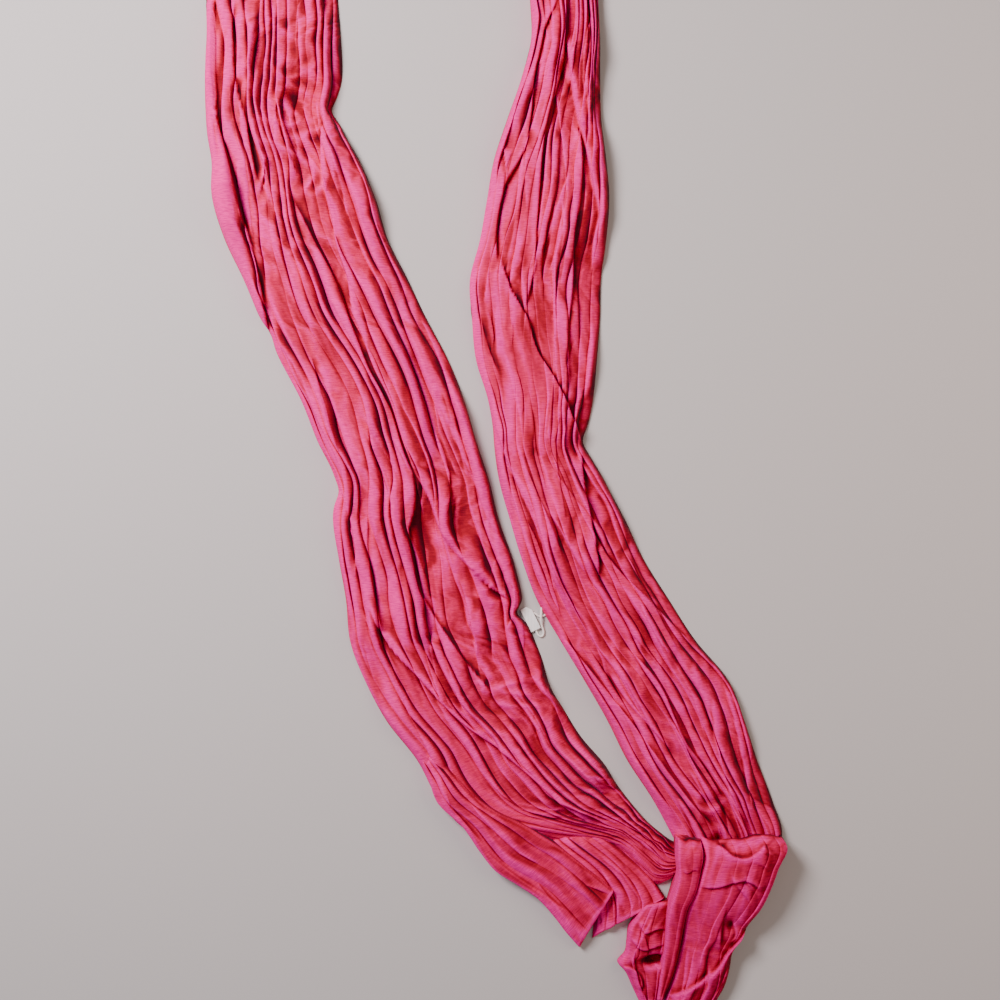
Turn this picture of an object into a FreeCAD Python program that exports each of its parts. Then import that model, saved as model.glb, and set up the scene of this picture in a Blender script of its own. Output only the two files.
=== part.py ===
import FreeCAD, Part

import math
import os

import Sketcher
from FreeCAD import Placement, Rotation, Vector

# Baby wrap sling: one long panel of thin stretch jersey, gathered into two runs that meet in a knot.
# It lies on a flat surface. Origin: the middle of its footprint, on that surface. +Y runs from the knot
# to the closed turn of the loop, +X to the side of the knot, +Z up. Millimetres.

doc = FreeCAD.newDocument("baby_wrap_sling")
sheet = doc.addObject("Spreadsheet::Sheet", "Sizes")
row = 0
made = []


def size(alias, value):
    """Writes one driving dimension to the sheet under its alias."""
    global row
    row += 1
    sheet.set(f"A{row}", alias)
    sheet.set(f"B{row}", str(value))
    sheet.setAlias(f"B{row}", alias)


def read(alias):
    return float(sheet.get(alias))


# Each gathered stretch of cloth is a loft through stations: the middle of the stretch (x, y), its heading
# in degrees from -Y towards +X, and its width across. All stations of a stretch share one thickness and
# one height above the surface.
STRETCHES = {
    "left_run_upper": (30, 0, [
        (-221.5, 416.5, 2, 131), (-222, 297, 6, 130), (-199.5, 217, 20, 150),
        (-168, 137, 23, 152), (-130.5, 57.5, 22, 155)]),
    "left_run_lower": (32, 0, [
        (-130, 56, 22, 155), (-97.5, -23, 18, 152), (-78, -103, 13, 162), (-61, -183, 13, 168),
        (-39, -256, 23, 166), (-13, -292, 38, 166), (17, -354, 51, 157)]),
    "left_run_neck": (26, 0, [
        (28, -342.5, 51, 122), (103, -405, 52, 78), (146, -439, 58, 60), (175, -442, 80, 38)]),
    "end_flap": (12, 0, [
        (-13.5, -408.5, 51, 30), (13, -425, 56, 50), (60, -454, 54, 50), (102, -500, 60, 68)]),
    "top_turn": (30, 0, [
        (-221.5, 418, 182, 131), (-219, 462, 176, 124), (-178, 556, 135, 108), (-76, 600.5, 90, 92),
        (25, 556, 45, 80), (67, 465, 4, 70), (70, 418, -5, 68)]),
    "right_run_upper": (30, 0, [
        (70, 416.5, -5, 68), (60, 297, -7, 94), (54, 217, -6, 121), (41.5, 137, -4, 130),
        (42.5, 57.5, 4, 121)]),
    "right_run_lower": (32, 0, [
        (42.6, 56, 4, 121), (49, -23, 9, 94), (73.5, -103, 18, 112), (110.5, -183, 27, 116),
        (162, -263, 29, 125), (198, -343, 21, 119), (231, -410, 0, 101)]),
    "tail_upper_layer": (9, 9.5, [
        (212, -499, 0, 78), (207, -528, 4, 70), (206, -555, 28, 60)]),
    "tail_lower_layer": (9, 0, [
        (212, -499, 0, 76), (204, -543, -8, 66), (194, -583, -8, 58), (188, -643, 0, 48)]),
}

for name, (thickness, lift, stations) in STRETCHES.items():
    size(f"{name}_thickness", thickness)
    size(f"{name}_lift", lift)
    for number, station in enumerate(stations, 1):
        for part, value in zip(("x", "y", "heading", "width"), station):
            size(f"{name}_{number}_{part}", value)

# The knot's band is wrapped round both runs; its outline is a pad with a soft top edge.
size("band_top", 42)
size("band_round", 6)
size("strip_top", 44)
size("layer_thick", 8)
size("side_fold_thick", 18)
size("side_hole_long", 17)
size("side_hole_wide", 10)
size("side_hole_x", 158)
size("side_hole_y", -540)
size("side_hole_turn", 62)

# The care label stands out from under the left run's edge, on a line that follows that edge.
size("label_x", 34)
size("label_y", -202.9)
size("label_heading", 26)
size("label_wide", 25)
size("label_out", 8)
size("label_curl", 5)
size("label_thick", 0.5)
size("label_lift", 2.6)

# The stitches that hold the label to the cloth's edge.
size("stitch_count", 7)
size("stitch_long", 2)
size("stitch_pitch", 2.9)
size("stitch_thick", 0.5)
size("stitch_back", 2.2)

# The hang string through the label: a limp cord, laid loose.
size("string_thick", 2)
doc.recompute()


def plane_of(body, role):
    return next(f for f in body.Origin.OriginFeatures if f.Role == role)


def new_body(label):
    body = doc.addObject("PartDesign::Body", label)
    body.Label = label
    made.append(body)
    return body


def new_sketch(body, name, role):
    sketch = body.newObject("Sketcher::SketchObject", name)
    sketch.AttachmentSupport = [(plane_of(body, role), "")]
    sketch.MapMode = "FlatFace"
    return sketch


def rule(sketch, constraint, name, expression):
    """Adds one dimension to a sketch and ties it to the sheet."""
    index = sketch.addConstraint(constraint)
    sketch.renameConstraint(index, name)
    sketch.setExpression(f"Constraints.{name}", expression)


def pill_section(body, stretch, number):
    """A section of gathered cloth across its run: flat below and above, round at both margins."""
    prefix = f"{stretch}_{number}"
    sketch = new_sketch(body, f"{prefix}_section", "XZ_Plane")
    # On this plane the sketch's own z points along -Y, and its y is up.
    sketch.AttachmentOffset = Placement(
        Vector(read(f"{prefix}_x"), 0, -read(f"{prefix}_y")),
        Rotation(Vector(0, 1, 0), read(f"{prefix}_heading")))
    sketch.setExpression("AttachmentOffset.Base.x", f"Sizes.{prefix}_x")
    sketch.setExpression("AttachmentOffset.Base.z", f"-Sizes.{prefix}_y")
    sketch.setExpression("AttachmentOffset.Rotation.Angle", f"Sizes.{prefix}_heading")

    radius = read(f"{stretch}_thickness") / 2
    half = read(f"{prefix}_width") / 2 - radius
    low = read(f"{stretch}_lift")
    middle = low + radius
    up = Vector(0, 0, 1)
    left = Part.Circle(Vector(-half, middle, 0), up, radius)
    right = Part.Circle(Vector(half, middle, 0), up, radius)
    quarter = math.pi / 2
    sketch.addGeometry(Part.LineSegment(Vector(-half, low, 0), Vector(half, low, 0)), False)
    sketch.addGeometry(Part.ArcOfCircle(right, -quarter, quarter), False)
    sketch.addGeometry(Part.LineSegment(
        Vector(half, low + 2 * radius, 0), Vector(-half, low + 2 * radius, 0)), False)
    sketch.addGeometry(Part.ArcOfCircle(left, quarter, 3 * quarter), False)
    for first, second in ((0, 1), (1, 2), (2, 3), (3, 0)):
        sketch.addConstraint(Sketcher.Constraint("Tangent", first, 2, second, 1))
    sketch.addConstraint(Sketcher.Constraint("Symmetric", 1, 3, 3, 3, -2))
    rule(sketch, Sketcher.Constraint("Radius", 1, radius), "margin", f"Sizes.{stretch}_thickness / 2")
    rule(sketch, Sketcher.Constraint("DistanceX", 3, 3, 1, 3, 2 * half), "flat",
         f"Sizes.{prefix}_width - Sizes.{stretch}_thickness")
    rule(sketch, Sketcher.Constraint("DistanceY", -1, 1, 1, 3, middle), "middle",
         f"Sizes.{stretch}_lift + Sizes.{stretch}_thickness / 2")
    return sketch


def gathered_stretch(stretch):
    """One stretch of gathered cloth, lofted through its stations."""
    body = new_body(stretch)
    stations = STRETCHES[stretch][2]
    sections = [pill_section(body, stretch, n) for n in range(1, len(stations) + 1)]
    loft = body.newObject("PartDesign::AdditiveLoft", f"{stretch}_loft")
    loft.Profile = sections[0]
    loft.Sections = sections[1:]
    loft.Ruled = False
    body.Tip = loft
    return body


def padded_outline(label, points, length_alias, lift_alias=None):
    """A body padded up from a closed outline of points on the XY plane."""
    body = new_body(label)
    sketch = new_sketch(body, f"{label}_outline", "XY_Plane")
    if lift_alias:
        sketch.AttachmentOffset = Placement(Vector(0, 0, read(lift_alias)), Rotation())
        sketch.setExpression("AttachmentOffset.Base.z", f"Sizes.{lift_alias}")
    corners = [Vector(x, y, 0) for x, y in points]
    for start, end in zip(corners, corners[1:] + corners[:1]):
        sketch.addGeometry(Part.LineSegment(start, end), False)
    count = len(corners)
    for line in range(count):
        sketch.addConstraint(Sketcher.Constraint("Coincident", line, 2, (line + 1) % count, 1))
    for line in range(count):
        sketch.addConstraint(Sketcher.Constraint("Block", line))
    pad = body.newObject("PartDesign::Pad", f"{label}_pad")
    pad.Profile = sketch
    pad.setExpression("Length", f"Sizes.{length_alias}")
    body.Tip = pad
    return body, pad


def soften_top(body, pad, top_alias, radius_expression):
    """Rounds the top edges of a pad."""
    doc.recompute()
    near = 0.01
    top = [f"Edge{i}" for i, edge in enumerate(pad.Shape.Edges, 1)
           if edge.BoundBox.ZMin > read(top_alias) - near]
    soft = body.newObject("PartDesign::Fillet", f"{body.Label}_soft_edge")
    soft.Base = (pad, top)
    soft.setExpression("Radius", radius_expression)
    body.Tip = soft


def knot_band():
    """The wrapped band of the knot, with soft top edges."""
    outline = [
        (205, -412.5), (281, -412.5), (288, -419), (279, -443), (272, -468), (261, -487.5),
        (195, -487.5), (199, -468), (204, -443)]
    body, pad = padded_outline("knot_band", outline, "band_top")
    soften_top(body, pad, "band_top", "Sizes.band_round")


def band_edge_fold():
    """The folded strip that crosses over the left run at the knot's near side."""
    outline = [
        (181, -413), (203.5, -413), (202.5, -443), (197.5, -468), (193.5, -487.5), (173, -487.5),
        (177, -467), (180.5, -449)]
    body, pad = padded_outline("band_edge_fold", outline, "strip_top")
    soften_top(body, pad, "strip_top", "Sizes.band_round / 2")


def flap_underlayer():
    """The edge of cloth that shows between the end flap and the knot."""
    outline = [
        (101.5, -520), (124, -473), (131, -475.5), (166.5, -464.5), (168, -475), (150, -486),
        (134, -494), (133, -506), (116, -512)]
    padded_outline("flap_underlayer", outline, "layer_thick")


def tail_side_fold():
    """The folded loop of cloth beside the tail, with the slot that stays open in it."""
    outline = [
        (136.5, -499), (131, -534), (124, -542), (131, -551), (138, -569), (146, -583),
        (155, -583), (161, -560), (165, -536), (168.5, -499)]
    body, pad = padded_outline("tail_side_fold", outline, "side_fold_thick")
    sketch = new_sketch(body, "side_slot", "XY_Plane")
    sketch.AttachmentOffset = Placement(
        Vector(read("side_hole_x"), read("side_hole_y"), 0),
        Rotation(Vector(0, 0, 1), read("side_hole_turn")))
    sketch.setExpression("AttachmentOffset.Base.x", "Sizes.side_hole_x")
    sketch.setExpression("AttachmentOffset.Base.y", "Sizes.side_hole_y")
    sketch.setExpression("AttachmentOffset.Rotation.Angle", "Sizes.side_hole_turn")
    half = (read("side_hole_long") - read("side_hole_wide")) / 2
    radius = read("side_hole_wide") / 2
    up = Vector(0, 0, 1)
    quarter = math.pi / 2
    sketch.addGeometry(Part.LineSegment(Vector(-half, -radius, 0), Vector(half, -radius, 0)), False)
    sketch.addGeometry(Part.ArcOfCircle(
        Part.Circle(Vector(half, 0, 0), up, radius), -quarter, quarter), False)
    sketch.addGeometry(Part.LineSegment(Vector(half, radius, 0), Vector(-half, radius, 0)), False)
    sketch.addGeometry(Part.ArcOfCircle(
        Part.Circle(Vector(-half, 0, 0), up, radius), quarter, 3 * quarter), False)
    for first, second in ((0, 1), (1, 2), (2, 3), (3, 0)):
        sketch.addConstraint(Sketcher.Constraint("Tangent", first, 2, second, 1))
    sketch.addConstraint(Sketcher.Constraint("Symmetric", 1, 3, 3, 3, -1, 1))
    rule(sketch, Sketcher.Constraint("Radius", 1, radius), "end", "Sizes.side_hole_wide / 2")
    rule(sketch, Sketcher.Constraint("DistanceX", 3, 3, 1, 3, 2 * half), "flat",
         "Sizes.side_hole_long - Sizes.side_hole_wide")
    slot = body.newObject("PartDesign::Pocket", "side_slot_cut")
    slot.Profile = sketch
    slot.Reversed = True
    slot.Type = "ThroughAll"
    body.Tip = slot


def edge_frame(along, out, lift):
    """A point beside the left run's edge: along the edge, out from it, and up."""
    turn = math.radians(read("label_heading"))
    down_edge = Vector(math.sin(turn), -math.cos(turn), 0)
    outward = Vector(math.cos(turn), math.sin(turn), 0)
    base = Vector(read("label_x"), read("label_y"), lift)
    return base + down_edge * along + outward * out


def care_label():
    """The woven label's free end, a thin tongue with one curled corner, hinged on its sewn edge."""
    half = read("label_wide") / 2
    curl = read("label_curl")
    out = read("label_out")
    corners = [edge_frame(a, o, 0) for a, o in (
        (-half, 0), (half, 0), (half, out), (-half + curl, out), (-half, out / 2))]
    padded_outline("care_label", [(c.x, c.y) for c in corners], "label_thick", "label_lift")


def label_stitches():
    """A row of short stitches that sews the label to the cloth's edge: one node of separate solids."""
    count = int(read("stitch_count"))
    pitch = read("stitch_pitch")
    radius = read("stitch_thick") / 2
    turn = math.radians(read("label_heading"))
    down_edge = Vector(math.sin(turn), -math.cos(turn), 0)
    solids = []
    for index in range(count):
        along = (index - (count - 1) / 2) * pitch - read("stitch_long") / 2
        start = edge_frame(along, -read("stitch_back"), read("label_lift") + radius)
        solids.append(Part.makeCylinder(radius, read("stitch_long"), start, down_edge))
    stitches = doc.addObject("Part::Feature", "label_stitches")
    stitches.Shape = Part.makeCompound(solids)
    stitches.Placement = Placement()
    stitches.Label = "label_stitches"
    made.append(stitches)


# The string's route, laid by hand from the end that comes out from under the right run, under the label,
# round its lower corner, and back over itself.
STRING_ROUTE = [
    (51.2, -197.8, 1.1), (48.4, -199.5, 1.1), (45.0, -199.4, 1.1), (41.8, -196.8, 1.1), (38.4, -195.2, 1.1),
    (35.8, -197.6, 1.1), (36.0, -202.0, 1.1), (38.6, -206.4, 1.1), (41.2, -211.6, 1.1), (43.2, -216.6, 1.1),
    (46.2, -219.8, 1.3), (49.4, -218.2, 1.5), (49.6, -213.6, 1.9), (47.8, -208.8, 2.4), (46.8, -203.6, 3.9),
    (46.8, -198.8, 4.2), (47.2, -194.4, 2.8), (47.4, -190.6, 1.5)]


def tube_along(points, radius):
    """A round tube along straight runs joined by tangent arcs."""
    # The share of the shorter neighbouring run that each bend takes up.
    bend_share = 0.45
    points = [Vector(*p) for p in points]
    edges = []
    radii = []
    start = points[0]
    for before, corner, after in zip(points, points[1:], points[2:]):
        back = before - corner
        ahead = after - corner
        shorter = min(back.Length, ahead.Length)
        turn = math.pi - back.getAngle(ahead)
        reach = bend_share * shorter
        radii.append(reach / math.tan(turn / 2))
        enter = corner + back.normalize() * reach
        leave = corner + ahead.normalize() * reach
        bisector = (back + ahead).normalize()
        centre = corner + bisector * (radii[-1] / math.cos(turn / 2))
        middle = centre - bisector * radii[-1]
        edges.append(Part.LineSegment(start, enter).toShape())
        edges.append(Part.Arc(enter, middle, leave).toShape())
        start = leave
    edges.append(Part.LineSegment(start, points[-1]).toShape())
    path = Part.Wire(edges)
    ring = Part.Wire(Part.makeCircle(radius, points[0], points[1] - points[0]))
    tube = path.makePipeShell([ring], True, False)
    return tube, path.Length, radii


def label_string():
    """The limp hang string."""
    radius = read("string_thick") / 2
    tube, length, radii = tube_along(STRING_ROUTE, radius)
    print("string length", round(length, 1), "radii", [round(r, 1) for r in radii])
    print("string volume", round(tube.Volume, 1), "section times length",
          round(math.pi * radius ** 2 * length, 1))
    string = doc.addObject("Part::Feature", "label_string")
    string.Shape = tube
    string.Placement = Placement()
    string.Label = "label_string"
    made.append(string)


for name in STRETCHES:
    gathered_stretch(name)
knot_band()
band_edge_fold()
flap_underlayer()
tail_side_fold()
care_label()
label_stitches()
label_string()
doc.recompute()

for item in doc.Objects:
    if "Invalid" in item.State or "Error" in item.State:
        raise RuntimeError(f"{item.Label} failed to build: {item.State}")
for item in made:
    if item.Shape.isNull() or not item.Shape.isValid():
        raise RuntimeError(f"{item.Label} has no valid shape")

os.makedirs("parts", exist_ok=True)
for item in made:
    item.Shape.exportStep(f"parts/{item.Label}.step")
    box = item.Shape.BoundBox
    print(f"{item.Label}: {len(item.Shape.Solids)} solid, {item.Shape.Volume / 1000:.1f} cm3, "
          f"x {box.XMin:.1f}..{box.XMax:.1f} y {box.YMin:.1f}..{box.YMax:.1f} z {box.ZMin:.1f}..{box.ZMax:.1f}")
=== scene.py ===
import math

import bmesh
import bpy
import numpy as np
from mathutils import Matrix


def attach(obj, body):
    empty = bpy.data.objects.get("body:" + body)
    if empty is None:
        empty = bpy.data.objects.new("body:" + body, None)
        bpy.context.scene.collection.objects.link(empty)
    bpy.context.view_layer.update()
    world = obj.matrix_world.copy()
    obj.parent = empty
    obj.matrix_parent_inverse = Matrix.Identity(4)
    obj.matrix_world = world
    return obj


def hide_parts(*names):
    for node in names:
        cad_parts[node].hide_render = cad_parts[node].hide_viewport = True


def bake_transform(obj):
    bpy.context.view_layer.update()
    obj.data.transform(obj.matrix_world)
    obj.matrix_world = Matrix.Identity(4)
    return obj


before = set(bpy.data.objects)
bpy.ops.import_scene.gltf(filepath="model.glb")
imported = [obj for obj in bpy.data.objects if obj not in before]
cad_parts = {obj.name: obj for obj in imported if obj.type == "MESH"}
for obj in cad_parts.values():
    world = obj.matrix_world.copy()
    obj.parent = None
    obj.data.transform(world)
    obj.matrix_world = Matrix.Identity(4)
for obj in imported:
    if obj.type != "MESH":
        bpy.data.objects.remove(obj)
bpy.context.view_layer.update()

mm = 0.001


# Camera: straight above the wrap, which lies on a pale surface.
cameraSettings = {"lens": 50.0, "sensor": 36.0, "across": 1.0, "centre": (0.006, -0.083)}


def placeCamera():
    data = bpy.data.cameras.new("studioCamera")
    data.lens = cameraSettings["lens"]
    data.sensor_width = cameraSettings["sensor"]
    camera = bpy.data.objects.new("studioCamera", data)
    x, y = cameraSettings["centre"]
    height = cameraSettings["across"] * cameraSettings["lens"] / cameraSettings["sensor"]
    camera.location = (x, y, height)
    bpy.context.collection.objects.link(camera)
    bpy.context.scene.camera = camera


# The hang string: its route in millimetres, from the end beside the right run, under the label and back.
stringSettings = {
    "thick": 2.0,
    "length": 73.7,
    "route": [
        (51.2, -197.8, 1.1), (48.4, -199.5, 1.1), (45.0, -199.4, 1.1), (41.8, -196.8, 1.1),
        (38.4, -195.2, 1.1), (35.8, -197.6, 1.1), (36.0, -202.0, 1.1), (38.6, -206.4, 1.1),
        (41.2, -211.6, 1.1), (43.2, -216.6, 1.1), (46.2, -219.8, 1.3), (49.4, -218.2, 1.5),
        (49.6, -213.6, 1.9), (47.8, -208.8, 2.4), (46.8, -203.6, 3.9), (46.8, -198.8, 4.2),
        (47.2, -194.4, 2.8), (47.4, -190.6, 1.5)],
}


def makeString():
    curve = bpy.data.curves.new("labelString", "CURVE")
    curve.dimensions = "3D"
    spline = curve.splines.new("NURBS")
    route = stringSettings["route"]
    spline.points.add(len(route) - 1)
    for point, place in zip(spline.points, route):
        point.co = (place[0] * mm, place[1] * mm, place[2] * mm, 1)
        point.radius = stringSettings["thick"] / 2 * mm
    spline.order_u = 3
    spline.use_endpoint_u = True
    spline.resolution_u = 10
    curve.bevel_depth = 1.0
    curve.bevel_resolution = 5
    curve.use_fill_caps = True
    string = bpy.data.objects.new("label_string_cord", curve)
    bpy.context.collection.objects.link(string)
    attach(string, "label")
    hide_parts("label_string")
    return string


placeCamera()
labelString = makeString()
print("camera and string placed")


# Materials.
# An sRGB hex colour as the linear one that a shader socket takes.
def toLinear(hexColour):
    channels = [int(hexColour[i:i + 2], 16) / 255 for i in (1, 3, 5)]
    return tuple(c / 12.92 if c <= 0.04045 else ((c + 0.055) / 1.055) ** 2.4 for c in channels) + (1.0,)


# Adds a node with its settings, and links by the name of the input; n0 and n1 are its first two.
def addNode(tree, kind, settings=None, **links):
    node = tree.nodes.new(kind)
    for key, value in (settings or {}).items():
        if key in node.inputs:
            node.inputs[key].default_value = value
        else:
            setattr(node, key, value)
    for key, source in links.items():
        tree.links.new(source, node.inputs[int(key[1:]) if key in ("n0", "n1") else key])
    return node




# Multiplies one colour by another; either may be a fixed colour or a socket.
def blendColour(tree, first, second):
    node = addNode(tree, "ShaderNodeMix", {"data_type": "RGBA", "blend_type": "MULTIPLY"})
    node.inputs[0].default_value = 1.0
    for socket, value in ((6, first), (7, second)):
        if isinstance(value, tuple):
            node.inputs[socket].default_value = value
        else:
            tree.links.new(value, node.inputs[socket])
    return node.outputs[2]


def greyOf(tree, value):
    grey = value.outputs[0]
    return addNode(tree, "ShaderNodeCombineColor", {}, Red=grey, Green=grey, Blue=grey).outputs[0]


# The colours from the deepest valley to the tops of the folds: the raspberry dye with painted shade in the
# valleys and painted light on the tops. Then the sizes of the cloth's patterns in millimetres.
# The real yarn is finer than the slub here, which is drawn as coarse as it needs to show.
jerseySettings = {
    "tones": [(0.06, "#4A0318"), (0.34, "#A80C28"), (0.52, "#E01059"), (0.76, "#FF1C98")],
    "slubLong": 8.0, "slubPitch": 1.0, "knitPitch": 0.9, "bandWide": 15.0, "bandLong": 95.0,
    "sheen": 0.08, "sheenTint": "#FF6FB4", "roughness": 0.82, "specular": 0.12, "relief": 0.4,
}


# The scale that makes one unit of noise as large as two of the settings, across and along the cloth.
def perMillimetre(across, along):
    return 1 / jerseySettings[across], 1 / jerseySettings[along], 1


# Slub jersey, cotton and viscose, piece-dyed raspberry and washed soft. Thick and thin yarn gives short
# streaks across the run; the tops of the folds get painted light and the valleys get painted shade.
def slubJersey(name, tone):
    settings = jerseySettings
    material = bpy.data.materials.new(name)
    material.use_nodes = True
    tree = material.node_tree
    shader = tree.nodes["Principled BSDF"]
    shader.inputs["Roughness"].default_value = settings["roughness"]
    shader.inputs["Sheen Weight"].default_value = settings["sheen"]
    shader.inputs["Sheen Roughness"].default_value = 0.45
    shader.inputs["Sheen Tint"].default_value = toLinear(settings["sheenTint"])
    shader.inputs["Specular IOR Level"].default_value = settings["specular"]
    relief = addNode(tree, "ShaderNodeAttribute", {"attribute_name": "relief"})
    cloth = addNode(tree, "ShaderNodeUVMap", {"uv_map": "cloth"})

    slubScale = addNode(tree, "ShaderNodeMapping", {"Scale": perMillimetre("slubLong", "slubPitch")},
                        Vector=cloth.outputs[0])
    slub = addNode(tree, "ShaderNodeTexNoise", {"Scale": 1.0, "Detail": 3.0, "Roughness": 0.6},
                   Vector=slubScale.outputs[0])
    bandScale = addNode(tree, "ShaderNodeMapping", {"Scale": perMillimetre("bandWide", "bandLong")},
                        Vector=cloth.outputs[0])
    band = addNode(tree, "ShaderNodeTexNoise", {"Scale": 1.0, "Detail": 2.0}, Vector=bandScale.outputs[0])

    # The relief attribute, which is painted light and shade from the height over the neighbouring folds and
    # the way they face, picks the tone, with bands of stronger and weaker dye.
    spread = addNode(tree, "ShaderNodeMath", {"operation": "SUBTRACT"}, n0=band.outputs["Fac"])
    spread.inputs[1].default_value = 0.5
    level = addNode(tree, "ShaderNodeMath", {"operation": "ADD"}, n0=relief.outputs["Fac"],
                    n1=spread.outputs[0])
    ramp = addNode(tree, "ShaderNodeValToRGB", {}, Fac=level.outputs[0])
    stops = ramp.color_ramp.elements
    for stop, (position, colour) in zip(stops, (settings["tones"][0], settings["tones"][-1])):
        stop.position = position
        stop.color = toLinear(colour)
    for position, colour in settings["tones"][1:-1]:
        stops.new(position).color = toLinear(colour)

    streak = addNode(tree, "ShaderNodeMapRange", {
        "From Min": 0.3, "From Max": 0.72, "To Min": 0.66, "To Max": 1.24}, Value=slub.outputs["Fac"])
    # This colour is the dye with the painted light and shade of the folds, streaked by the yarn.
    dyed = blendColour(tree, ramp.outputs["Color"], greyOf(tree, streak))
    tree.links.new(blendColour(tree, dyed, toLinear(tone)), shader.inputs["Base Color"])

    knitScale = addNode(tree, "ShaderNodeMapping", {"Scale": perMillimetre("knitPitch", "knitPitch")},
                        Vector=cloth.outputs[0])
    knit = addNode(tree, "ShaderNodeTexVoronoi", {"Scale": 1.0}, Vector=knitScale.outputs[0])
    weave = addNode(tree, "ShaderNodeMath", {"operation": "ADD"}, n0=slub.outputs["Fac"],
                    n1=knit.outputs["Distance"])
    bump = addNode(tree, "ShaderNodeBump", {"Strength": 0.35, "Distance": settings["relief"] * mm},
                   Height=weave.outputs[0])
    tree.links.new(bump.outputs[0], shader.inputs["Normal"])
    return material


# White tape, thread or cord: a fine over-and-under weave of bleached yarn, so a faint regular ripple.
def plainCloth(name, colour, pitch, roughness):
    material = bpy.data.materials.new(name)
    material.use_nodes = True
    tree = material.node_tree
    shader = tree.nodes["Principled BSDF"]
    shader.inputs["Roughness"].default_value = roughness
    place = addNode(tree, "ShaderNodeTexCoord")
    # A wave texture repeats about 20 times in a metre at a scale of 1.
    weave = addNode(tree, "ShaderNodeTexWave", {
        "Scale": 1 / (20 * pitch * mm), "Distortion": 2.0, "Detail": 2.0}, Vector=place.outputs["Object"])
    shade = addNode(tree, "ShaderNodeMapRange", {"To Min": 0.93, "To Max": 1.0}, Value=weave.outputs["Fac"])
    tree.links.new(blendColour(tree, toLinear(colour), greyOf(tree, shade)), shader.inputs["Base Color"])
    bump = addNode(tree, "ShaderNodeBump", {"Strength": 0.4, "Distance": 0.0002}, Height=weave.outputs["Fac"])
    tree.links.new(bump.outputs[0], shader.inputs["Normal"])
    return material


jersey = slubJersey("slub jersey, piece-dyed raspberry", "#FFFFFF")
jerseyKnot = slubJersey("slub jersey, stretched at the knot", "#F2E4F0")
tape = plainCloth("polyester label tape, satin-woven", "#FFFEFA", 0.5, 0.5)
cotton = plainCloth("cotton cord, twisted", "#FBF8F0", 0.9, 0.8)
thread = plainCloth("polyester thread, spun", "#E9E6DF", 0.4, 0.6)
print("materials made")


# Cloth tools. Every stretch of cloth is a grid: columns run along the folds, rows cross them.
# What a stretch is like unless its own settings say otherwise, in millimetres and shares of its width.
usualCloth = {
    "step": 1.8, "columns": 20,  # between rows; for each fold
    "bed": 5.0, "crown": 5.0, "round": 9.0, "tilt": 0.0,  # the pile below the folds, and its margins
    "wobble": 4.2, "crowd": 0.0, "lean": 2.0,  # how folds wander, bunch and lean over
    "shingle": 0.22, "shallow": 0.36, "pinch": 0.29, "flatness": 0.7,  # the shape of one fold
    "pleat": 1.1, "wrinkle": 0.35, "creases": 0, "easeNarrow": False,  # fine relief
    "laps": [], "nicks": [], "dents": [], "calm": [], "crumple": [],  # what lies at set places
    "ends": (0, 0), "hem": 0.0, "lowest": 0.7,  # how the first and last rows close
    "tuck": 16.0, "floor": 0.6, "closed": False, "capped": False,  # what goes back underneath
    "seed": 1,
}
usualLap = {"over": 1, "rise": 4.0, "back": 12.0, "lip": 0.6, "dip": 0.35, "fade": 22.0}


# A smooth curve through values given at the knots.
def smoothAt(knots, values, at):
    knots = np.asarray(knots, float)
    values = np.asarray(values, float)
    slope = np.gradient(values, knots, axis=0)
    i = np.clip(np.searchsorted(knots, at, side="right") - 1, 0, len(knots) - 2)
    span = knots[i + 1] - knots[i]
    t = (at - knots[i]) / span
    if values.ndim > 1:
        span = span[:, None]
        t = t[:, None]
    return ((1 + 2 * t) * (1 - t) ** 2 * values[i] + t * (1 - t) ** 2 * span * slope[i]
            + t * t * (3 - 2 * t) * values[i + 1] + t * t * (t - 1) * span * slope[i + 1])


# Smooth noise from -1 to 1 with features one unit wide.
def softNoise(x, y, seed):
    table = np.random.default_rng(seed).uniform(-1, 1, (97, 89))
    x, y = np.broadcast_arrays(x, y)
    column = np.floor(x).astype(int)
    row = np.floor(y).astype(int)
    fx = x - column
    fy = y - row
    fx = fx * fx * (3 - 2 * fx)
    fy = fy * fy * (3 - 2 * fy)
    a = table[column % 97, row % 89]
    b = table[(column + 1) % 97, row % 89]
    c = table[column % 97, (row + 1) % 89]
    d = table[(column + 1) % 97, (row + 1) % 89]
    return (a * (1 - fx) + b * fx) * (1 - fy) + (c * (1 - fx) + d * fx) * fy


# Noise with sharp crests at 1, for pleats and wrinkles.
def crestNoise(x, y, seed):
    return 1 - np.abs(softNoise(x, y, seed)) * 2


def smoothStep(value):
    value = np.clip(value, 0, 1)
    return value * value * (3 - 2 * value)


# Averages a grid of values over a few cells each way.
def spreadOut(field, reach):
    for axis in (0, 1):
        padded = np.concatenate([np.repeat(field.take([0], axis), reach, axis), field,
                                 np.repeat(field.take([-1], axis), reach, axis)], axis)
        total = np.cumsum(padded, axis)
        zero = np.zeros_like(total.take([0], axis))
        total = np.concatenate([zero, total], axis)
        size = 2 * reach + 1
        count = field.shape[axis]
        field = (total.take(range(size, size + count), axis) - total.take(range(count), axis)) / size
    return field


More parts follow.
